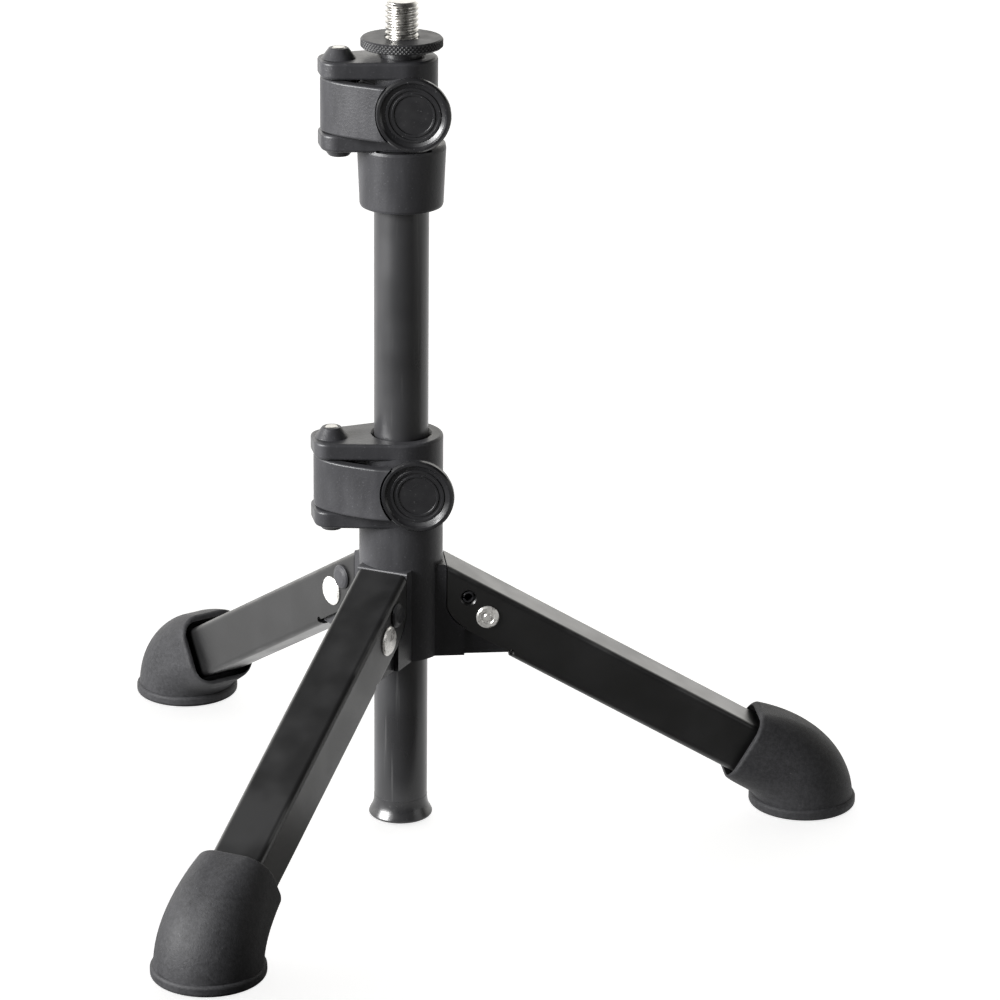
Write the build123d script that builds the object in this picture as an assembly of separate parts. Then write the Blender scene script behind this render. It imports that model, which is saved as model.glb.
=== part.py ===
from build123d import *
import math
import os

# Desktop microphone stand. Millimetres, +Z up. The origin is on the tube's axis at table level.
# Leg 1 points along +X, and the other two follow at 120 and 240 degrees.

os.makedirs("parts", exist_ok=True)

# Rods and thread
TUBE_R = 8.0
TUBE_WALL = 1.2
TUBE_BOTTOM = 7.0
TUBE_TOP = 208.4
ROD_R = 6.0
ROD_WALL = 1.2
ROD_BOTTOM = 33.0
ROD_TOP = 236.8
GUIDE_LENGTH = 12.0
CAP_LIP_R = 9.6
CAP_FOOT = 0.4
RUN = 0.06
THREAD_R = 4.7625
NECK_R = 4.6
NUT_R = 11.85
NUT_BOTTOM = 237.1
NUT_TOP = 240.0
STUD_TOP = 250.5

# Clamps: both share one lever height, and differ in ring size and pin distance
CLAMP_TURN = 5.5
EAR = 5.0
GAP = 16.0
LEVER_PLAY = 0.2
PIN_R = 1.95
EYE_R = 4.55
CAM_OFFSET = 0.55
BACK_R = 5.4
BACK_FROM = 150.0
CAM_ANGLE = -20.0
SHOE_WIDTH = 11.0
PAD_R = 10.75
PAD_THICK = 2.4
PAD_SEAT = 1.8
UPPER = dict(ring=10.4, bore=ROD_R + RUN, pin=18.2, tip=5.0, half=7.4, floor=208.6,
             mid=(-11.3, -16.2), end=(-0.5, -21.2), centre=221.9)
LOWER = dict(ring=12.4, bore=TUBE_R + RUN, pin=20.7, tip=5.0, half=8.0, floor=95.6,
             mid=(-12.6, -16.2), end=(0.9, -21.7), centre=108.7)
LEVER_END_ANGLE = -18.7
LEVER_THICK = 3.0
EDGE = 0.6
COLLAR_TOP_R = 12.85
COLLAR_FOOT_R = 12.15
COLLAR_TOP = 209.4
COLLAR_BOTTOM = 190.6
SLIT = 0.7

# Hub
HUB_R = 12.4
HUB_BOTTOM = 54.0
ROOT_R = 12.9
ROOT_TOP = 82.8
STEP_R = 18.35
STEP_TOP = 62.8
FIN_HALF = 6.5

# Legs: square tubes that slope down 30 degrees from a pivot beside the hub
LEG_COUNT = 3
LEG = 16.0
LEG_WALL = 1.2
LEG_CORNER = 1.8
SLOPE = 30.0
PIVOT_R = 25.2
PIVOT_Z = 66.0
LEG_GAP = 0.28
FLOOR_START = 12.2
LEG_END = 103.0
RIVET_R = 2.0
RIVET_HEAD_R = 4.4
RIVET_TAIL_R = 3.4
DETENT_BACK = -8.0
DETENT_UP = 2.5
DETENT_R = 2.0
DETENT_HEAD_R = 3.7

# Boots
SOLE_AT = 123.2
SOLE_R = 16.3
SOLE_RING = 3.4
MOUTH_AT = 90.4
MOUTH_WIDTH = 23.6
MOUTH_LOW = -10.9
MOUTH_HIGH = 11.7
RECESS = 4.5
RECESS_GAP = 2.3
LIP = 1.2


def save(node, solid):
    """Writes one node's solids in the shared frame."""
    export_step(solid, f"parts/{node}.step")


def tube(outer, inner, low, high):
    """A plain tube round the Z axis."""
    height = high - low
    ring = Circle(outer) - Circle(inner)
    return Pos(0, 0, low) * extrude(ring, height)


def rod(radius, low, high):
    """A plain cylinder round the Z axis."""
    return Pos(0, 0, low) * extrude(Circle(radius), high - low)


def turned(points):
    """A solid of revolution round Z from its half profile, given as radius and height pairs."""
    outline = Plane.XZ * make_face(Polyline(*points, close=True))
    return revolve(outline, Axis.Z)


def leg_place(index):
    """The turn that carries leg 1's parts to leg number index."""
    return Rot(0, 0, 360.0 / LEG_COUNT * index)


# ---------------------------------------------------------------- rods and thread

def make_main_tube():
    return tube(TUBE_R, TUBE_R - TUBE_WALL, TUBE_BOTTOM, TUBE_TOP)


def make_tube_end_cap():
    """A glossy foot that flares out below the tube, and a hollow plug in the tube's bore."""
    bore = TUBE_R - TUBE_WALL
    top = TUBE_BOTTOM + 11.0
    floor = CAP_FOOT + 2.6
    rim = (CAP_LIP_R, CAP_FOOT + 0.9)
    crest = (TUBE_R + 0.05, TUBE_BOTTOM)
    outline = make_face([
        Line((0, CAP_FOOT), (CAP_LIP_R - 0.9, CAP_FOOT)),
        ThreePointArc((CAP_LIP_R - 0.9, CAP_FOOT), (CAP_LIP_R - 0.25, CAP_FOOT + 0.25), rim),
        Spline(rim, (TUBE_R + 0.62, CAP_FOOT + 2.9), crest, tangents=[(-0.35, 1), (0, 1)]),
        Line(crest, (bore, TUBE_BOTTOM)), Line((bore, TUBE_BOTTOM), (bore, top - 1)),
        Line((bore, top - 1), (bore - 0.8, top)), Line((bore - 0.8, top), (bore - 1.8, top)),
        Line((bore - 1.8, top), (bore - 1.8, floor)), Line((bore - 1.8, floor), (0, floor)),
        Line((0, floor), (0, CAP_FOOT))])
    return revolve(Plane.XZ * outline, Axis.Z)


def make_inner_rod():
    return tube(ROD_R, ROD_R - ROD_WALL, ROD_BOTTOM, ROD_TOP)


def make_rod_guide():
    """A plastic plug: a shank in the rod's end and a skirt that runs in the tube's bore."""
    skirt = TUBE_R - TUBE_WALL - RUN
    shank = ROD_R - ROD_WALL
    low = ROD_BOTTOM - GUIDE_LENGTH
    return turned([
        (0, low + 1.5), (skirt - 2.0, low + 1.5), (skirt - 1.6, low), (skirt - 0.6, low), (skirt, low + 0.8),
        (skirt, ROD_BOTTOM - 1.0), (skirt - 0.6, ROD_BOTTOM), (shank, ROD_BOTTOM),
        (shank, ROD_BOTTOM + 9.0), (shank - 0.8, ROD_BOTTOM + 10.0), (0, ROD_BOTTOM + 10.0)])


def make_thread_stud():
    """Shank pressed in the rod, a neck where the nut sits, and the exposed 3/8 inch thread."""
    shank = ROD_R - ROD_WALL
    chamfer = 0.9
    return turned([
        (0, ROD_TOP - 20.0), (shank - 0.6, ROD_TOP - 20.0), (shank, ROD_TOP - 19.4), (shank, ROD_TOP),
        (NECK_R, ROD_TOP), (NECK_R, NUT_TOP), (THREAD_R, NUT_TOP), (THREAD_R, STUD_TOP - chamfer),
        (THREAD_R - chamfer, STUD_TOP), (0, STUD_TOP)])


def make_lock_nut():
    edge = 0.35
    bore = NECK_R + 0.08
    return turned([
        (bore + 0.4, NUT_BOTTOM), (NUT_R - edge, NUT_BOTTOM), (NUT_R, NUT_BOTTOM + edge), (NUT_R, NUT_TOP - edge),
        (NUT_R - edge, NUT_TOP), (bore + 0.4, NUT_TOP), (bore, NUT_TOP - 0.4), (bore, NUT_BOTTOM + 0.4)])


# ---------------------------------------------------------------- clamps

def ear_outline(clamp):
    """Plan of an ear: the ring's circle drawn out to a blunt rounded end past the hinge pin."""
    half = clamp["half"] - clamp["tip"]
    tip = -(clamp["pin"] + 0.7)
    corners = [(tip, half), (tip, -half)]
    hull_edges = [CenterArc((0, 0), clamp["ring"], 0, 360)]
    hull_edges += [CenterArc((x, y), clamp["tip"], 0, 360) for x, y in corners]
    return make_face(make_hull(hull_edges))


def ear(clamp, low):
    plate = extrude(ear_outline(clamp), EAR)
    rims = plate.edges().group_by(Axis.Z)
    plate = fillet(rims[0] + rims[-1], 0.9)
    return Pos(0, 0, low) * plate


def boss(clamp, low, high, base, top):
    """A tapered boss round the hinge pin, between two heights."""
    cone = loft([Pos(0, 0, low) * Circle(base), Pos(0, 0, high) * Circle(top)])
    rim = cone.edges().group_by(Axis.Z)[-1 if top < base else 0]
    return Pos(-clamp["pin"], 0, 0) * fillet(rim, 0.5)


def clamp_shell(clamp):
    """Ring, two ears and their bosses, still without bores."""
    low = clamp["floor"]
    high = low + 2 * EAR + GAP
    shell = rod(clamp["ring"], low + EAR - 1, high - EAR + 1)
    shell += ear(clamp, low) + ear(clamp, high - EAR)
    shell += boss(clamp, high - 0.01, high + 3.0, 5.0, 2.75)
    shell += boss(clamp, low - 2.4, low + 0.01, 2.9, 4.7)
    return shell


def clamp_cuts(clamp):
    """Pin hole, and the window through the ring that the brake shoe slides in."""
    low = clamp["floor"]
    high = low + 2 * EAR + GAP
    pin_hole = Pos(-clamp["pin"], 0, 0) * rod(PIN_R, low - 5, high + 5)
    window_length = clamp["ring"] + 2.0
    window = Pos(-window_length / 2, 0, low + EAR + GAP / 2) * Box(window_length, SHOE_WIDTH + 0.3, GAP)
    mouth = Pos(0, 0, high) * Cone(clamp["bore"], clamp["bore"] + 1.0, 1.2, align=(Align.CENTER, Align.CENTER, Align.MAX))
    return pin_hole + window + mouth


def turn_clamp(solid):
    return Rot(0, 0, CLAMP_TURN) * solid


def make_upper_clamp_body():
    low = UPPER["floor"]
    body = clamp_shell(UPPER)
    collar = turned([
        (0, COLLAR_BOTTOM), (COLLAR_FOOT_R - 0.9, COLLAR_BOTTOM), (COLLAR_FOOT_R - 0.25, COLLAR_BOTTOM + 0.3),
        (COLLAR_FOOT_R, COLLAR_BOTTOM + 1.0), (COLLAR_TOP_R, COLLAR_TOP - 1.6),
        (COLLAR_TOP_R - 0.25, COLLAR_TOP - 0.3), (COLLAR_TOP_R - 0.8, COLLAR_TOP), (0, COLLAR_TOP)])
    body += collar
    body -= rod(UPPER["bore"], COLLAR_BOTTOM - 1, low + 40)
    body -= rod(TUBE_R, COLLAR_BOTTOM - 1, TUBE_TOP)
    body -= clamp_cuts(UPPER)
    slit = Pos(-1.0, -COLLAR_TOP_R, low + SLIT / 2) * Box(16.0, 9.0, SLIT)
    body -= slit
    return turn_clamp(body)


def make_shoe(clamp):
    """A brake block: its front is curved to the rod, and its flat back meets the cam."""
    back = clamp["pin"] - EYE_R - CAM_OFFSET - 0.02
    middle = clamp["floor"] + EAR + GAP / 2
    block = Pos(-back / 2, 0, middle) * Box(back, SHOE_WIDTH, GAP - 2 * LEVER_PLAY)
    block -= rod(clamp["bore"] - RUN + 0.02, middle - GAP, middle + GAP)
    block = chamfer(block.edges().filter_by(Axis.Z).group_by(Axis.X)[0], 0.8)
    return turn_clamp(block)


def lever_curve(clamp, inset):
    """The lever's outer line in plan, moved inwards by inset, from the hinge to the pad."""
    end_turn = math.radians(LEVER_END_ANGLE)
    back_turn = math.radians(BACK_FROM)
    back = BACK_R - inset
    start = (-clamp["pin"] + back * math.cos(back_turn), back * math.sin(back_turn))
    side = (-clamp["pin"] - back, 0)
    mid_normal = math.radians(60)
    mid = (clamp["mid"][0] + inset * math.cos(mid_normal), clamp["mid"][1] + inset * math.sin(mid_normal))
    end = (clamp["end"][0] - inset * math.sin(end_turn), clamp["end"][1] + inset * math.cos(end_turn))
    ahead = (math.cos(end_turn), math.sin(end_turn))
    behind = (-math.sin(back_turn), math.cos(back_turn))
    return Spline(start, side, mid, end, tangents=[behind, ahead])


def pad_place(clamp, depth):
    """The thumb pad's plane: at the lever's end, depth behind its face, looking outwards."""
    turn = math.radians(LEVER_END_ANGLE)
    x = clamp["end"][0] - depth * math.sin(turn)
    y = clamp["end"][1] + depth * math.cos(turn)
    outward = (math.sin(turn), -math.cos(turn), 0)
    return Plane(origin=(x, y, clamp["centre"]), x_dir=(math.cos(turn), math.sin(turn), 0), z_dir=outward)


def make_lever(clamp):
    """Cam eye, curved band and the round seat behind the pad."""
    height = GAP - 2 * LEVER_PLAY
    low = clamp["floor"] + EAR + LEVER_PLAY
    outer = lever_curve(clamp, 0)
    inner = lever_curve(clamp, LEVER_THICK)
    sides = [Line(outer @ 0, inner @ 0), Line(outer @ 1, inner @ 1)]
    band = extrude(make_face([outer, inner] + sides), height)
    rims = band.edges().filter_by(GeomType.BSPLINE).sort_by(SortBy.LENGTH)[-2:]
    band = fillet(rims, EDGE)
    cam_turn = math.radians(CAM_ANGLE)
    cam_centre = (-clamp["pin"] + CAM_OFFSET * math.cos(cam_turn), CAM_OFFSET * math.sin(cam_turn))
    eye = Pos(*cam_centre, 0) * extrude(Circle(EYE_R), height)
    lever = Pos(0, 0, low) * (band + eye)
    seat_depth = PAD_SEAT + PAD_THICK
    seat = pad_place(clamp, seat_depth) * extrude(Circle(PAD_R - 0.7), PAD_SEAT)
    pad_room = pad_place(clamp, PAD_THICK) * extrude(Circle(PAD_R + 0.3), 12)
    lever = lever + seat - pad_room
    lever -= Pos(-clamp["pin"], 0, 0) * rod(PIN_R + 0.04, low - 1, low + height + 1)
    return turn_clamp(lever)


def make_thumb_pad(clamp):
    """A dished cap with a raised rim and two plain rings."""
    profile = [
        (0, 0), (PAD_R - 0.6, 0), (PAD_R, 0.6), (PAD_R, PAD_THICK - 0.7), (PAD_R - 0.5, PAD_THICK),
        (PAD_R - 1.2, PAD_THICK), (PAD_R - 1.7, PAD_THICK - 0.5), (8.0, PAD_THICK - 0.95),
        (7.8, PAD_THICK - 0.7), (7.2, PAD_THICK - 0.75), (7.0, PAD_THICK - 1.05), (6.4, PAD_THICK - 1.1),
        (6.2, PAD_THICK - 0.85), (5.7, PAD_THICK - 0.9), (5.5, PAD_THICK - 1.2), (0, PAD_THICK - 1.2)]
    pad = turned(profile)
    return turn_clamp(pad_place(clamp, PAD_THICK) * pad)


def make_hinge_pin(clamp):
    low = clamp["floor"] - 2.2
    high = clamp["floor"] + 2 * EAR + GAP + 3.15
    pin = rod(PIN_R, low, high)
    pin = chamfer(pin.edges().group_by(Axis.Z)[-1], 0.3)
    return turn_clamp(Pos(-clamp["pin"], 0, 0) * pin)


# ---------------------------------------------------------------- hub

def side_view(x, z):
    """A point of leg 1's side view, given from the pivot."""
    return (PIVOT_R + x, PIVOT_Z + z)


def upright(face, half):
    """A plate of leg 1's side view, half its thickness to each side."""
    return extrude(Plane.XZ * face, half, both=True)


def root_face():
    """Side view of the thick root that the leg's end closes on."""
    shoulder = ROOT_TOP - 13.4
    return make_face([
        Line((0, HUB_BOTTOM), (STEP_R, HUB_BOTTOM)), Line((STEP_R, HUB_BOTTOM), (STEP_R, STEP_TOP)),
        ThreePointArc((STEP_R, STEP_TOP), (15.25, 65.1), (ROOT_R, shoulder)),
        Line((ROOT_R, shoulder), (ROOT_R, ROOT_TOP)), Line((ROOT_R, ROOT_TOP), (0, ROOT_TOP)),
        Line((0, ROOT_TOP), (0, HUB_BOTTOM))])


def fin_face():
    """Side view of the fin inside the leg: it stays within reach of the leg's walls over the whole fold."""
    reach = 6.45
    slope = math.radians(SLOPE)
    peak = (reach * math.sin(slope), reach * math.cos(slope))
    run = 22.0
    far = (peak[0] - run * math.cos(slope), peak[1] + run * math.sin(slope))
    middle = (reach * math.cos(slope), reach * math.sin(slope))
    drop = HUB_BOTTOM - PIVOT_Z
    points = [side_view(*p) for p in (far, peak, middle, (reach, 0), (reach, drop), (-PIVOT_R + 2, drop))]
    left = side_view(-PIVOT_R + 2, far[1])
    return make_face([
        Line(points[0], points[1]), ThreePointArc(points[1], points[2], points[3]),
        Line(points[3], points[4]), Line(points[4], points[5]), Line(points[5], left), Line(left, points[0])])


def detent_seat():
    """Position of the detent pin in leg 1's side view, from the pivot, with the leg open."""
    slope = math.radians(SLOPE)
    x = DETENT_BACK * math.cos(slope) + DETENT_UP * math.sin(slope)
    z = -DETENT_BACK * math.sin(slope) + DETENT_UP * math.cos(slope)
    return x, z


def detent_path_face():
    """The band that the detent pin sweeps as the leg folds, open at the fin's outer edge."""
    x, z = detent_seat()
    radius = math.hypot(x, z)
    start = math.degrees(math.atan2(z, x))
    clear = DETENT_R + 0.15
    sweep = start + 5.0
    ring = Circle(radius + clear) - Circle(radius - clear)
    wedge_reach = 30.0
    corners = [(0, 0)]
    for step in range(5):
        angle = math.radians(-5.0 + sweep * step / 4)
        corners.append((wedge_reach * math.cos(angle), wedge_reach * math.sin(angle)))
    wedge = make_face(Polyline(*corners, close=True))
    path = (ring & wedge) + Pos(x, z) * Circle(clear)
    return Pos(PIVOT_R, PIVOT_Z) * path


def make_hub_body():
    body = rod(HUB_R, HUB_BOTTOM, LOWER["floor"] + EAR)
    body += turn_clamp(clamp_shell(LOWER))
    root = upright(root_face(), LEG / 2)
    crown = root.edges().filter_by(Axis.Y).sort_by(Axis.Z)[-1]
    root = fillet(crown, 0.8)
    fin = upright(fin_face(), FIN_HALF) - upright(detent_path_face(), LEG)
    fin -= Pos(PIVOT_R, 0, PIVOT_Z) * Rot(90, 0, 0) * Cylinder(RIVET_R + 0.06, LEG)
    for index in range(LEG_COUNT):
        body += leg_place(index) * (root + fin)
    body -= rod(LOWER["bore"], HUB_BOTTOM - 1, LOWER["floor"] + 40)
    body -= turn_clamp(clamp_cuts(LOWER))
    return body


# ---------------------------------------------------------------- legs

def leg_frame(along, up=0.0):
    """A plane square to leg 1 at a distance from the pivot: x across the leg, y up out of its top."""
    slope = math.radians(SLOPE)
    x = PIVOT_R + along * math.cos(slope) + up * math.sin(slope)
    z = PIVOT_Z - along * math.sin(slope) + up * math.cos(slope)
    return Plane(origin=(x, 0, z), x_dir=(0, 1, 0), z_dir=(math.cos(slope), 0, -math.sin(slope)))


def leg_box(start, end, low, high, width):
    """A block in leg 1's own directions: along the leg, across it, and up out of its top."""
    length = end - start
    height = high - low
    block = extrude(Pos(0, (low + high) / 2) * Rectangle(width, height), length)
    return leg_frame(start) * block


def cross_bore(along, up, radius, low, high):
    """A cylinder across leg 1, between two distances from its middle plane."""
    centre = leg_frame(along, up).origin
    bore = Cylinder(radius, high - low)
    return Pos(centre.X, (low + high) / 2, centre.Z) * Rot(90, 0, 0) * bore


def leg_end_room():
    """Everything inboard of the leg's end: a hair wider than the root, and clear of the hub."""
    shoulder = ROOT_TOP - 13.4
    edge = ROOT_R + LEG_GAP
    step = STEP_R + LEG_GAP
    top = PIVOT_Z + 60
    face = make_face([
        Line((-5, 0), (step, 0)), Line((step, 0), (step, STEP_TOP)),
        ThreePointArc((step, STEP_TOP), (15.25 + LEG_GAP * 0.8, 65.1 + LEG_GAP * 0.8), (edge, shoulder + 0.1)),
        Line((edge, shoulder + 0.1), (edge, top)), Line((edge, top), (-5, top)), Line((-5, top), (-5, 0))])
    return upright(face, LEG)


def make_leg_tube():
    start = -24.0
    outer = RectangleRounded(LEG, LEG, LEG_CORNER)
    inner = RectangleRounded(LEG - 2 * LEG_WALL, LEG - 2 * LEG_WALL, LEG_CORNER - 1.0)
    leg = leg_frame(start) * extrude(outer - inner, LEG_END - start)
    leg -= leg_end_room()
    half = LEG / 2
    side_floor = -half + LEG_WALL + 0.2
    leg -= leg_box(start, FLOOR_START, -half - 1, side_floor, LEG + 2)
    leg -= cross_bore(FLOOR_START - 0.2, side_floor, 1.0, -LEG, LEG)
    leg -= cross_bore(0, 0, RIVET_R, -LEG, LEG)
    leg -= cross_bore(DETENT_BACK, DETENT_UP, DETENT_R + 0.1, -LEG, LEG)
    x, z = detent_seat()
    countersink = Cone(DETENT_R + 0.1, DETENT_R + 0.5, 0.4)
    leg -= Pos(PIVOT_R + x, 0.2 - half, PIVOT_Z + z) * Rot(90, 0, 0) * countersink
    return leg


def make_leg_rivet():
    """Shank with a flat head on the leg's left side and a spread tail on its right side."""
    half = LEG / 2
    shank = Cylinder(RIVET_R, LEG)
    head = turned([
        (0, half), (RIVET_HEAD_R, half), (RIVET_HEAD_R, half + 0.35),
        (RIVET_HEAD_R - 0.5, half + 0.75), (0, half + 0.9)])
    tail = turned([
        (0, -half), (RIVET_TAIL_R, -half), (RIVET_TAIL_R, -half - 0.5), (RIVET_TAIL_R - 0.4, -half - 0.9),
        (2.1, -half - 0.8), (1.8, -half - 0.5), (1.2, -half - 0.5), (0.9, -half - 0.75), (0, -half - 0.75)])
    return Pos(PIVOT_R, 0, PIVOT_Z) * Rot(-90, 0, 0) * (shank + head + tail)


def make_detent_pin():
    """Black plastic pin: domed head outside, shank through the leg, and a split hollow end in the far wall."""
    half = LEG / 2
    x, z = detent_seat()
    sunk = 0.35
    pin = turned([
        (0, -half + sunk), (DETENT_R - 0.5, -half + sunk), (DETENT_R, -half + sunk + 0.5), (DETENT_R, half),
        (DETENT_HEAD_R, half), (DETENT_HEAD_R, half + 0.5), (DETENT_HEAD_R - 0.4, half + 0.95),
        (DETENT_HEAD_R - 1.4, half + 1.3), (0, half + 1.4)])
    mouth_depth = 4.0
    mouth_middle = -half + sunk + mouth_depth / 2
    pin -= Pos(0, 0, mouth_middle) * Cylinder(DETENT_R - 0.75, mouth_depth)
    pin -= Pos(0, 0, mouth_middle) * Box(2 * DETENT_R + 1, 0.5, mouth_depth)
    return Pos(PIVOT_R + x, 0, PIVOT_Z + z) * Rot(-90, 0, 0) * pin


# ---------------------------------------------------------------- boots

def boot_section(low, high, width, corner):
    """A rounded section across the boot, between its inner and outer points in leg 1's side view."""
    middle = ((low[0] + high[0]) / 2, (low[1] + high[1]) / 2)
    height = math.hypot(high[0] - low[0], high[1] - low[1])
    up = ((high[0] - low[0]) / height, (high[1] - low[1]) / height)
    plane = Plane(origin=(middle[0], 0, middle[1]), x_dir=(0, 1, 0), z_dir=(up[1], 0, -up[0]))
    return plane * RectangleRounded(width, height, corner)


def lip_edges(body, mouth):
    """Edges round the outside of the boot's lip: they are in its mouth plane, and outside its recess."""
    found = []
    for edge in body.edges():
        middle = mouth.to_local_coords(edge.center())
        outside = max(abs(middle.X), abs(middle.Y)) > LEG / 2 + RECESS_GAP + 0.01
        if abs(middle.Z) < 0.01 and outside:
            found.append(edge)
    return found


def make_boot():
    """A bent rubber boot: it leaves the leg's direction and ends in a round sole with a proud ring."""
    mouth = leg_frame(MOUTH_AT)
    low = leg_frame(MOUTH_AT, MOUTH_LOW).origin
    high = leg_frame(MOUTH_AT, MOUTH_HIGH).origin
    neck_r = SOLE_R - 0.9
    body = loft([
        boot_section((low.X, low.Z), (high.X, high.Z), MOUTH_WIDTH, 7.5),
        boot_section((101.8, 8.3), (120.6, 27.4), 26.0, 10.5),
        boot_section((105.6, 5.8), (132.6, 18.2), 28.8, 13.2),
        boot_section((SOLE_AT - neck_r, SOLE_RING - 0.2), (SOLE_AT + neck_r, SOLE_RING - 0.2),
                     2 * neck_r, neck_r - 0.05)])
    room = RectangleRounded(LEG + 2 * RECESS_GAP, LEG + 2 * RECESS_GAP - 0.8, 4.5)
    body -= mouth * extrude(room, RECESS)
    body = fillet(lip_edges(body, mouth), LIP)
    ring = rod(SOLE_R, 0, SOLE_RING)
    ring = Pos(SOLE_AT, 0, 0) * fillet(ring.edges().filter_by(GeomType.CIRCLE), 1.1)
    boot = body + ring
    boot -= mouth * extrude(RectangleRounded(LEG, LEG, LEG_CORNER), LEG_END - MOUTH_AT)
    return boot


# ---------------------------------------------------------------- all nodes

save("main_tube", make_main_tube())
save("tube_end_cap", make_tube_end_cap())
save("inner_rod", make_inner_rod())
save("rod_guide", make_rod_guide())
save("thread_stud", make_thread_stud())
save("lock_nut", make_lock_nut())
save("upper_clamp_body", make_upper_clamp_body())
save("hub_body", make_hub_body())
for side, clamp in (("upper", UPPER), ("lower", LOWER)):
    save(f"{side}_clamp_shoe", make_shoe(clamp))
    save(f"{side}_lever", make_lever(clamp))
    save(f"{side}_thumb_pad", make_thumb_pad(clamp))
    save(f"{side}_hinge_pin", make_hinge_pin(clamp))

leg_parts = {
    "leg_tube": make_leg_tube(),
    "leg_rivet": make_leg_rivet(),
    "detent_pin": make_detent_pin(),
    "boot": make_boot(),
}
for node, solid in leg_parts.items():
    for index in range(LEG_COUNT):
        save(f"{node}_{index + 1}", leg_place(index) * solid)
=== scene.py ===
import bpy
import math
from mathutils import Matrix, Vector


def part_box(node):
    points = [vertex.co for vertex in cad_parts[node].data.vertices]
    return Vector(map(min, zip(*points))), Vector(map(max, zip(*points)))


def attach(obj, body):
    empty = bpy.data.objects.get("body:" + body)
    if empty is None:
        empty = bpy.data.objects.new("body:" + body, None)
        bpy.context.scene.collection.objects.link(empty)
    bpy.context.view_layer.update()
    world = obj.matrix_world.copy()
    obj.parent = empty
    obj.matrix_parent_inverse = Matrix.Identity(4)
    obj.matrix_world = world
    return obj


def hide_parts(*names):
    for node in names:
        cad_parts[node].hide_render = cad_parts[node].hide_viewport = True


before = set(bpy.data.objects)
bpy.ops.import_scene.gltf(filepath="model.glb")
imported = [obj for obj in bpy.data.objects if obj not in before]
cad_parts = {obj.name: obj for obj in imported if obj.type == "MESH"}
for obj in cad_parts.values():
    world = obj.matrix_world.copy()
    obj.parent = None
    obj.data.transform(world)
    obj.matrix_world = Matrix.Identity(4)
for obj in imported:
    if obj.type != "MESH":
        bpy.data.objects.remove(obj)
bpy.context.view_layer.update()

scene = bpy.context.scene
scene.view_settings.view_transform = "Standard"
scene.view_settings.look = "None"

# ---------------------------------------------------------------- camera, floor and light


def look_at(obj, target, roll=0.0):
    """Turns a camera or light so that it looks from its place at the target."""
    ahead = (Vector(target) - obj.location).normalized()
    turn = ahead.to_track_quat("-Z", "Y").to_matrix().to_4x4()
    spin = Matrix.Rotation(math.radians(roll), 4, "Z")
    obj.matrix_world = Matrix.Translation(obj.location) @ turn @ spin


# The camera's place, aim and lens were fitted to the photo's outlines.
CAMERA_PLACE = (-0.088565, -1.142003, 0.49707)
CAMERA_TARGET = (0.029081, -0.003004, 0.100868)
CAMERA_ROLL = 0.572
CAMERA_LENS = 147.6
CAMERA_SENSOR = 36.0
CAMERA_REACH = 20.0

camera_data = bpy.data.cameras.new("camera")
camera_data.lens = CAMERA_LENS
camera_data.sensor_width = CAMERA_SENSOR
camera_data.clip_end = CAMERA_REACH
camera = bpy.data.objects.new("camera", camera_data)
scene.collection.objects.link(camera)
camera.location = CAMERA_PLACE
look_at(camera, CAMERA_TARGET, roll=CAMERA_ROLL)
scene.camera = camera


def softbox(name, place, target, width, height, power):
    """A rectangular area light, in metres and watts."""
    data = bpy.data.lights.new(name, "AREA")
    data.shape = "RECTANGLE"
    data.size = width
    data.size_y = height
    data.energy = power
    lamp = bpy.data.objects.new(name, data)
    scene.collection.objects.link(lamp)
    lamp.location = place
    look_at(lamp, target)
    return lamp


key = softbox("key_left", (-0.98, -0.34, 0.5), (0, 0, 0.12), 0.7, 0.6, 78)
fill = softbox("fill_right", (0.8, -0.35, 0.2), (0, 0, 0.1), 0.5, 0.5, 1.5)
# The white table's own light, behind and beside the stand. It lies just above the floor and faces up.
table_glow = softbox("table_glow", (0.1, 0.62, 0.0005), (0.1, 0.62, 1.0), 1.8, 1.3, 7)
table_glow.visible_camera = False

# ---------------------------------------------------------------- material nodes

MM = 0.001
WORLD_SWEEP = 2.2
WORLD_ROOM = 0.07
UPRIGHT = ((1, 0, 0), (0, 1, 0), (0, 0, 1))
THREAD_RADIUS = 4.7625 * MM
THREAD_PITCH = 1.5875 * MM
THREAD_DEPTH = 0.6 * MM
KNURL_CELLS = 62
KNURL_DEPTH = 0.26 * MM
NUT_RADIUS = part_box("lock_nut")[1][0]
WARM_WHITE = (1.0, 0.985, 0.95, 1)
FLOOR_HALF = 6
FLOOR_GLOW = 0.82
LEG_COUNT = 3
LEG_SLOPE = math.radians(30)
SHARP_ANGLE = math.radians(38)


def node(tree, kind, settings=None, inputs=None):
    """Adds a shader node, sets its options and its inputs: a socket is linked, anything else is a value."""
    item = tree.nodes.new("ShaderNode" + kind)
    for key, value in (settings or {}).items():
        setattr(item, key, value)
    for key, value in (inputs or {}).items():
        if isinstance(value, bpy.types.NodeSocket):
            tree.links.new(value, item.inputs[key])
        else:
            item.inputs[key].default_value = value
    return item


def math_node(tree, operation, first, second=0.0):
    """One sum on one or two values. An absolute value takes only the first."""
    return node(tree, "Math", {"operation": operation}, {0: first, 1: second}).outputs[0]


def object_place(tree):
    return node(tree, "TexCoord").outputs["Object"]


def object_normal(tree):
    return node(tree, "TexCoord").outputs["Normal"]


def along(tree, vector, direction):
    """How far a vector reaches along a direction."""
    settings = {"operation": "DOT_PRODUCT"}
    return node(tree, "VectorMath", settings, {0: vector, 1: tuple(direction)}).outputs["Value"]


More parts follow.
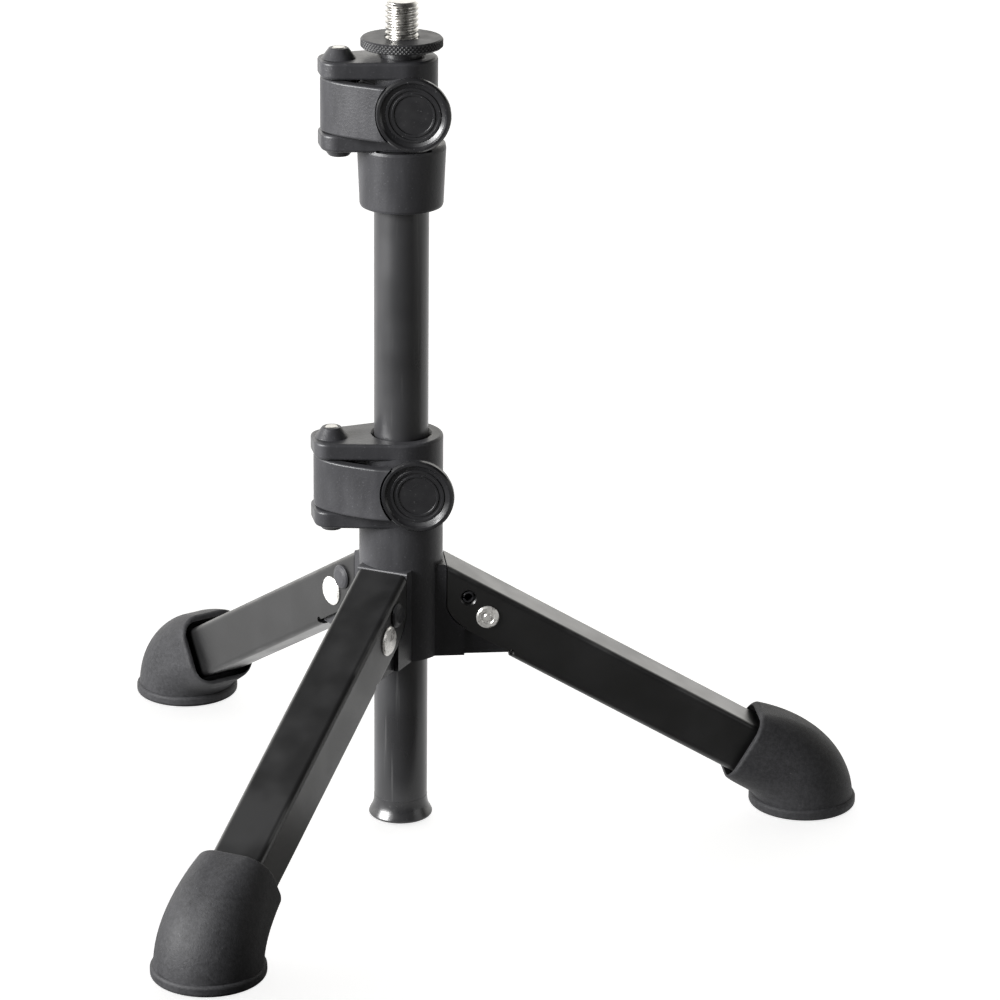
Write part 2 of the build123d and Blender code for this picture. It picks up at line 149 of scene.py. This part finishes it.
def axes_place(tree, vector, axes, stretch=(1, 1, 1)):
    """A vector measured along three axes, each divided by its stretch."""
    parts = [along(tree, vector, Vector(axis) / amount) for axis, amount in zip(axes, stretch)]
    return node(tree, "CombineXYZ", None, {0: parts[0], 1: parts[1], 2: parts[2]}).outputs[0]


def noise(tree, place, size, detail=3.0, roughness=0.55):
    """Noise whose blotches are about the given size in metres."""
    inputs = {"Vector": place, "Scale": 1 / size, "Detail": detail, "Roughness": roughness}
    return node(tree, "TexNoise", None, inputs).outputs["Fac"]


def cells(tree, place, size):
    """Distance to the nearest of a field of points, which are about the given size apart."""
    inputs = {"Vector": place, "Scale": 1 / size}
    return node(tree, "TexVoronoi", {"feature": "F1"}, inputs).outputs["Distance"]


def fit(tree, value, low, high, to_low=0.0, to_high=1.0):
    """Maps a range smoothly onto another, and holds it at both ends."""
    settings = {"interpolation_type": "SMOOTHSTEP"}
    inputs = {"Value": value, "From Min": low, "From Max": high, "To Min": to_low, "To Max": to_high}
    return node(tree, "MapRange", settings, inputs).outputs["Result"]


def blend_colour(tree, amount, first, second):
    """Goes from the first colour to the second as the amount goes from 0 to 1."""
    item = node(tree, "Mix", {"data_type": "RGBA"}, {"Factor": amount})
    for socket, colour in ((item.inputs[6], first), (item.inputs[7], second)):
        if isinstance(colour, bpy.types.NodeSocket):
            tree.links.new(colour, socket)
        else:
            socket.default_value = (*colour, 1)
    return item.outputs[2]


def bump(tree, height, distance, before=None):
    """Relief of a height map over a distance in metres, on top of an earlier bump if one is given."""
    inputs = {"Height": height, "Distance": distance, "Strength": 1.0}
    if before is not None:
        inputs["Normal"] = before
    return node(tree, "Bump", None, inputs).outputs["Normal"]


def start_material(name, metallic=0.0, specular=0.5, sheen=0.0):
    """A Principled material. Returns it with its tree and its shader node."""
    material = bpy.data.materials.new(name)
    material.use_nodes = True
    tree = material.node_tree
    shader = tree.nodes["Principled BSDF"]
    shader.inputs["Metallic"].default_value = metallic
    shader.inputs["Specular IOR Level"].default_value = specular
    shader.inputs["Sheen Weight"].default_value = sheen
    return material, tree, shader


def connect(tree, shader, colour, roughness, normal):
    """Gives the shader its colour, roughness and normal, each a socket, a value or None."""
    for name, socket in (("Base Color", colour), ("Roughness", roughness), ("Normal", normal)):
        if isinstance(socket, bpy.types.NodeSocket):
            tree.links.new(socket, shader.inputs[name])
        elif socket is not None:
            shader.inputs[name].default_value = (*socket, 1) if isinstance(socket, tuple) else socket


def studio_world():
    """A dark room with a bright white sweep behind the table, low down."""
    world = bpy.data.worlds.new("world")
    scene.world = world
    world.use_nodes = True
    tree = world.node_tree
    ways = node(tree, "SeparateXYZ", None, {0: node(tree, "TexCoord").outputs["Generated"]}).outputs
    behind = fit(tree, ways[1], -0.15, 0.55)
    low = fit(tree, ways[2], 0.3, 0.8, 1.0, 0.0)
    sweep = math_node(tree, "MULTIPLY", behind, low)
    strength = math_node(tree, "ADD", math_node(tree, "MULTIPLY", sweep, WORLD_SWEEP), WORLD_ROOM)
    tree.links.new(strength, tree.nodes["Background"].inputs["Strength"])
    tree.nodes["Background"].inputs["Color"].default_value = WARM_WHITE


# ---------------------------------------------------------------- materials


def moulded_plastic(name):
    """Glass-filled nylon moulding with a spark-eroded grain, faint flow marks and rubbed high spots."""
    material, tree, shader = start_material(name, specular=0.16)
    place = object_place(tree)
    grain = noise(tree, place, 0.4 * MM, detail=4.0, roughness=0.7)
    pits = cells(tree, place, 0.9 * MM)
    flow = noise(tree, axes_place(tree, place, UPRIGHT, (1, 1, 3)), 9 * MM)
    speck = fit(tree, noise(tree, place, 0.6 * MM, detail=1.0), 0.66, 0.76)
    colour = blend_colour(tree, fit(tree, flow, 0.35, 0.7), (0.015, 0.015, 0.0163), (0.023, 0.023, 0.0248))
    colour = blend_colour(tree, math_node(tree, "MULTIPLY", speck, 0.25), colour, (0.07, 0.07, 0.075))
    roughness = fit(tree, flow, 0.3, 0.75, 0.34, 0.42)
    fine = bump(tree, grain, 0.03 * MM)
    normal = bump(tree, pits, 0.02 * MM, before=fine)
    connect(tree, shader, colour, roughness, normal)
    return material


def coated_tube(name):
    """Satin black coat on round steel tube: slight orange peel, and rub marks along the tube."""
    material, tree, shader = start_material(name, specular=0.4)
    place = object_place(tree)
    peel = noise(tree, place, 1.6 * MM, detail=2.0)
    rubs = noise(tree, axes_place(tree, place, UPRIGHT, (1, 1, 40)), 0.9 * MM, detail=2.0)
    clouds = noise(tree, place, 22 * MM, detail=2.0)
    colour = blend_colour(tree, fit(tree, clouds, 0.3, 0.7), (0.010, 0.010, 0.0107), (0.015, 0.015, 0.016))
    marks = fit(tree, rubs, 0.60, 0.75, 0.0, 0.3)
    colour = blend_colour(tree, marks, colour, (0.05, 0.05, 0.05))
    base_roughness = fit(tree, clouds, 0.3, 0.7, 0.27, 0.34)
    roughness = math_node(tree, "ADD", base_roughness, math_node(tree, "MULTIPLY", marks, 0.3))
    normal = bump(tree, peel, 0.010 * MM)
    connect(tree, shader, colour, roughness, normal)
    return material


def coated_leg(name, axes):
    """Semi-gloss black coat on square tube: lengthwise mill marks, thinner coat on the corners."""
    material, tree, shader = start_material(name, specular=0.5)
    place = object_place(tree)
    own = axes_place(tree, place, axes, (40, 1, 1))
    normals = object_normal(tree)
    side = math_node(tree, "ABSOLUTE", along(tree, normals, axes[1]))
    top = math_node(tree, "ABSOLUTE", along(tree, normals, axes[2]))
    corner = math_node(tree, "MULTIPLY", math_node(tree, "MULTIPLY", side, top), 2.0)
    mill = noise(tree, own, 0.5 * MM, detail=2.0)
    peel = noise(tree, place, 1.2 * MM, detail=2.0)
    clouds = noise(tree, place, 15 * MM, detail=2.0)
    rub = math_node(tree, "MULTIPLY", fit(tree, corner, 0.7, 0.99), fit(tree, clouds, 0.45, 0.65))
    tint = fit(tree, clouds, 0.3, 0.7)
    colour = blend_colour(tree, tint, (0.0022, 0.0022, 0.0023), (0.0036, 0.0036, 0.0038))
    colour = blend_colour(tree, math_node(tree, "MULTIPLY", rub, 0.25), colour, (0.08, 0.08, 0.08))
    roughness = fit(tree, clouds, 0.3, 0.7, 0.32, 0.40)
    first = bump(tree, peel, 0.008 * MM)
    normal = bump(tree, mill, 0.004 * MM, before=first)
    connect(tree, shader, colour, roughness, normal)
    return material


def rubber(name):
    """Matt rubber: very fine grain, bloom in broad clouds, and a little pale dust."""
    material, tree, shader = start_material(name, specular=0.13, sheen=0.02)
    place = object_place(tree)
    grain = noise(tree, place, 0.55 * MM, detail=4.0, roughness=0.75)
    bloom = noise(tree, place, 9 * MM, detail=6.0, roughness=0.7)
    dust = fit(tree, noise(tree, place, 0.4 * MM, detail=1.0), 0.74, 0.84)
    mottle = fit(tree, noise(tree, place, 1.1 * MM, detail=4.0, roughness=0.8), 0.35, 0.7)
    colour = blend_colour(tree, fit(tree, bloom, 0.3, 0.75), (0.008, 0.008, 0.0087), (0.013, 0.013, 0.014))
    colour = blend_colour(tree, math_node(tree, "MULTIPLY", mottle, 0.5), colour, (0.026, 0.026, 0.028))
    colour = blend_colour(tree, math_node(tree, "MULTIPLY", dust, 0.5), colour, (0.12, 0.12, 0.12))
    roughness = fit(tree, bloom, 0.3, 0.7, 0.54, 0.66)
    normal = bump(tree, grain, 0.12 * MM)
    connect(tree, shader, colour, roughness, normal)
    return material


def gloss_plastic(name, base, specular):
    """Polished black plastic with faint hairlines and a few dust specks."""
    material, tree, shader = start_material(name, specular=specular)
    place = object_place(tree)
    slanted = ((0.8, 0.1, 0.6), (0.2, 1, 0.1), (-0.6, 0, 0.8))
    hair = noise(tree, axes_place(tree, place, slanted, (30, 1, 1)), 0.4 * MM)
    lines = fit(tree, hair, 0.66, 0.74, 0.0, 1.0)
    waves = noise(tree, place, 3 * MM, detail=1.0)
    dust = fit(tree, noise(tree, place, 0.35 * MM, detail=0.0), 0.80, 0.84)
    colour = blend_colour(tree, math_node(tree, "MULTIPLY", dust, 0.4), base, (0.12, 0.12, 0.12))
    base_roughness = fit(tree, waves, 0.3, 0.7, 0.26, 0.34)
    roughness = math_node(tree, "ADD", base_roughness, math_node(tree, "MULTIPLY", lines, 0.12))
    normal = bump(tree, waves, 0.008 * MM)
    connect(tree, shader, colour, roughness, normal)
    return material


def nut_coat(name):
    """Black satin coat over turned steel: fine rings on the faces, rubbed thin on the knurl's tips."""
    material, tree, shader = start_material(name, specular=0.12)
    place = object_place(tree)
    steps = node(tree, "SeparateXYZ", None, {0: place}).outputs
    flat = node(tree, "CombineXYZ", None, {0: steps[0], 1: steps[1], 2: 0.0}).outputs[0]
    reach = node(tree, "VectorMath", {"operation": "LENGTH"}, {0: flat}).outputs["Value"]
    spoke = node(tree, "CombineXYZ", None, {0: reach, 1: 0.0, 2: 0.0}).outputs[0]
    rings = noise(tree, spoke, 0.12 * MM, detail=2.0)
    clouds = noise(tree, place, 4 * MM, detail=2.0)
    edge = fit(tree, reach, NUT_RADIUS - 0.10 * MM, NUT_RADIUS, 0.0, 0.3)
    colour = blend_colour(tree, fit(tree, clouds, 0.3, 0.7), (0.012, 0.012, 0.013), (0.018, 0.018, 0.019))
    colour = blend_colour(tree, math_node(tree, "MULTIPLY", edge, clouds), colour, (0.16, 0.16, 0.15))
    roughness = fit(tree, clouds, 0.3, 0.7, 0.38, 0.46)
    normal = bump(tree, rings, 0.006 * MM)
    connect(tree, shader, colour, roughness, normal)
    return material


def plated_steel(name, metallic, low, high):
    """Plated steel between two colours, with fine tumbling marks; duller zinc is less metallic."""
    material, tree, shader = start_material(name, metallic=metallic)
    place = object_place(tree)
    clouds = noise(tree, place, 1.5 * MM, detail=3.0)
    dents = noise(tree, place, 0.6 * MM, detail=2.0)
    colour = blend_colour(tree, fit(tree, clouds, 0.3, 0.7), low, high)
    roughness = fit(tree, clouds, 0.3, 0.7, 0.24, 0.36)
    normal = bump(tree, dents, 0.004 * MM)
    connect(tree, shader, colour, roughness, normal)
    return material


def nylon(name):
    """Natural nylon, slightly waxy."""
    material, tree, shader = start_material(name, specular=0.4)
    place = object_place(tree)
    clouds = noise(tree, place, 4 * MM)
    colour = blend_colour(tree, fit(tree, clouds, 0.3, 0.7), (0.045, 0.045, 0.045), (0.07, 0.07, 0.068))
    normal = bump(tree, noise(tree, place, 0.5 * MM), 0.02 * MM)
    connect(tree, shader, colour, fit(tree, clouds, 0.3, 0.7, 0.42, 0.55), normal)
    return material


# ---------------------------------------------------------------- pieces with threads and knurls


def skin(name, rows, count, ring, material):
    """A closed skin round Z from rows of a height and a function that gives the radius at a turn."""
    points = []
    for height, radius_at in rows:
        for step in range(count):
            turn = 2 * math.pi * step / count
            radius = radius_at(turn)
            points.append((radius * math.cos(turn), radius * math.sin(turn), height))
    faces = []
    for row in range(len(rows) if ring else len(rows) - 1):
        above = (row + 1) % len(rows)
        for step in range(count):
            ahead = (step + 1) % count
            faces.append((row * count + step, row * count + ahead,
                          above * count + ahead, above * count + step))
    if not ring:
        faces.append(tuple(reversed(range(count))))
        faces.append(tuple(range((len(rows) - 1) * count, len(rows) * count)))
    mesh = bpy.data.meshes.new(name)
    mesh.from_pydata(points, [], faces)
    for face in mesh.polygons:
        face.use_smooth = True
    mesh.set_sharp_from_angle(angle=SHARP_ANGLE)
    mesh.materials.append(material)
    piece = bpy.data.objects.new(name, mesh)
    scene.collection.objects.link(piece)
    return piece


def steady(radius):
    """A row of one radius all the way round."""
    return lambda turn: radius


def threaded_row(height, limit):
    """One row of the right-handed 3/8 inch 16 thread, cut down to a limit."""
    def radius_at(turn):
        phase = (height / THREAD_PITCH - turn / (2 * math.pi)) % 1.0
        from_crest = abs(2 * phase - 1)
        slope = min(max((from_crest - 0.14) / 0.72, 0.0), 1.0)
        drop = slope * slope * (3 - 2 * slope)
        return min(THREAD_RADIUS - THREAD_DEPTH * drop, limit)
    return radius_at


def knurled_row(rise, radius, cells_round, depth):
    """One row of a diamond knurl: two crossing families of grooves leave blunt pyramids."""
    pitch = 2 * math.pi * radius / cells_round

    def radius_at(turn):
        tips = []
        for lean in (1, -1):
            phase = (cells_round * turn / (2 * math.pi) + lean * rise / pitch) % 1.0
            tips.append(1 - abs(2 * phase - 1))
        return radius - depth * (1 - min(1.5 * min(tips), 1.0))
    return radius_at


def make_stud(material):
    """The stud: a shank in the rod, a neck under the nut, and the thread, chamfered at its top."""
    low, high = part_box("thread_stud")
    shank = high[0]
    rod_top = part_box("inner_rod")[1][2]
    nut_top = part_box("lock_nut")[1][2]
    neck = THREAD_RADIUS - 0.16 * MM
    thread_start = nut_top - 0.35 * MM
    rows = [(low[2], steady(shank - 0.6 * MM)), (low[2] + 0.6 * MM, steady(shank)), (rod_top, steady(shank)),
            (rod_top, steady(neck)), (thread_start - 0.05 * MM, steady(neck))]
    row_count = 120
    for index in range(row_count + 1):
        height = thread_start + (high[2] - thread_start) * index / row_count
        run_in = neck + (height - thread_start) * 0.6
        chamfer = THREAD_RADIUS - 0.9 * MM + (high[2] - height)
        rows.append((height, threaded_row(height, min(run_in, chamfer))))
    rows.append((high[2], steady(THREAD_RADIUS - 1.3 * MM)))
    return skin("threaded_stud", rows, 96, False, material)


def make_nut(material):
    """The lock nut: a ring with a knurled band between two bevelled edges."""
    low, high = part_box("lock_nut")
    bore = THREAD_RADIUS - 0.08 * MM
    foot = low[2]
    top = high[2]
    radius = high[0]
    band_low = foot + 0.45 * MM
    band_high = top - 0.4 * MM
    rows = [(foot, steady(bore + 0.4 * MM)), (foot, steady(radius - 0.55 * MM)),
            (band_low, steady(radius - 0.12 * MM))]
    row_count = 18
    for index in range(row_count + 1):
        rise = (band_high - band_low) * index / row_count
        rows.append((band_low + rise, knurled_row(rise, radius, KNURL_CELLS, KNURL_DEPTH)))
    rows += [(band_high + 0.02 * MM, steady(radius - 0.12 * MM)), (top, steady(radius - 0.5 * MM)),
             (top, steady(bore + 0.55 * MM)), (top - 0.5 * MM, steady(bore)), (foot + 0.4 * MM, steady(bore))]
    return skin("knurled_nut", rows, 8 * KNURL_CELLS, True, material)


def dress(node_name, material):
    """Gives a CAD node's every material slot a new material."""
    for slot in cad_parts[node_name].material_slots:
        slot.material = material


plastic = moulded_plastic("moulded_plastic")
tube_coat = coated_tube("tube_coat")
pad_gloss = gloss_plastic("pad_gloss", (0.005, 0.005, 0.0055), 0.3)
cap_gloss = gloss_plastic("cap_gloss", (0.010, 0.010, 0.0107), 0.4)
steel = plated_steel("plated_steel", 1.0, (0.32, 0.315, 0.30), (0.42, 0.41, 0.39))
zinc = plated_steel("zinc_plate", 0.7, (0.50, 0.49, 0.47), (0.66, 0.65, 0.63))
boot_rubber = rubber("boot_rubber")
shoe_nylon = nylon("shoe_nylon")
nut_black = nut_coat("nut_black")
studio_world()

stud = make_stud(steel)
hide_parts("thread_stud")
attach(stud, "rod_turner")
nut = make_nut(nut_black)
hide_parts("lock_nut")
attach(nut, "nut")

dress("main_tube", tube_coat)
dress("inner_rod", tube_coat)
dress("tube_end_cap", cap_gloss)
dress("rod_guide", shoe_nylon)
dress("upper_clamp_body", plastic)
dress("hub_body", plastic)
for side in ("upper", "lower"):
    dress(f"{side}_lever", plastic)
    dress(f"{side}_thumb_pad", pad_gloss)
    dress(f"{side}_clamp_shoe", shoe_nylon)
    dress(f"{side}_hinge_pin", steel)

for index in range(LEG_COUNT):
    turn = math.radians(360 / LEG_COUNT * index)
    out = Vector((math.cos(turn), math.sin(turn), 0))
    leg_axis = out * math.cos(LEG_SLOPE) - Vector((0, 0, math.sin(LEG_SLOPE)))
    leg_side = Vector((-math.sin(turn), math.cos(turn), 0))
    leg_up = out * math.sin(LEG_SLOPE) + Vector((0, 0, math.cos(LEG_SLOPE)))
    leg_coat = coated_leg(f"leg_coat_{index + 1}", (leg_axis, leg_side, leg_up))
    dress(f"leg_tube_{index + 1}", leg_coat)
    dress(f"leg_rivet_{index + 1}", zinc)
    dress(f"detent_pin_{index + 1}", plastic)
    dress(f"boot_{index + 1}", boot_rubber)

# ---------------------------------------------------------------- floor

floor_mesh = bpy.data.meshes.new("floor")
floor_corners = [(-FLOOR_HALF, -FLOOR_HALF, 0), (FLOOR_HALF, -FLOOR_HALF, 0),
                 (FLOOR_HALF, FLOOR_HALF, 0), (-FLOOR_HALF, FLOOR_HALF, 0)]
floor_mesh.from_pydata(floor_corners, [], [(0, 1, 2, 3)])
floor = bpy.data.objects.new("floor", floor_mesh)
scene.collection.objects.link(floor)
floor_material, floor_tree, floor_shader = start_material("floor", specular=0.1)
connect(floor_tree, floor_shader, (0.8, 0.8, 0.8), 0.8, None)
floor_shader.inputs["Emission Color"].default_value = (1, 1, 1, 1)
floor_shader.inputs["Emission Strength"].default_value = FLOOR_GLOW
floor_mesh.materials.append(floor_material)

# ---------------------------------------------------------------- what each light reaches

# The softboxes leave out the floor, and the floor's own glow lights nothing but the floor.
not_the_floor = bpy.data.collections.new("not_the_floor")
not_the_floor.objects.link(floor)
not_the_floor.collection_objects[0].light_linking.link_state = "EXCLUDE"
key.light_linking.receiver_collection = not_the_floor
fill.light_linking.receiver_collection = not_the_floor
only_the_floor = bpy.data.collections.new("only_the_floor")
only_the_floor.objects.link(floor)
floor.light_linking.receiver_collection = only_the_floor
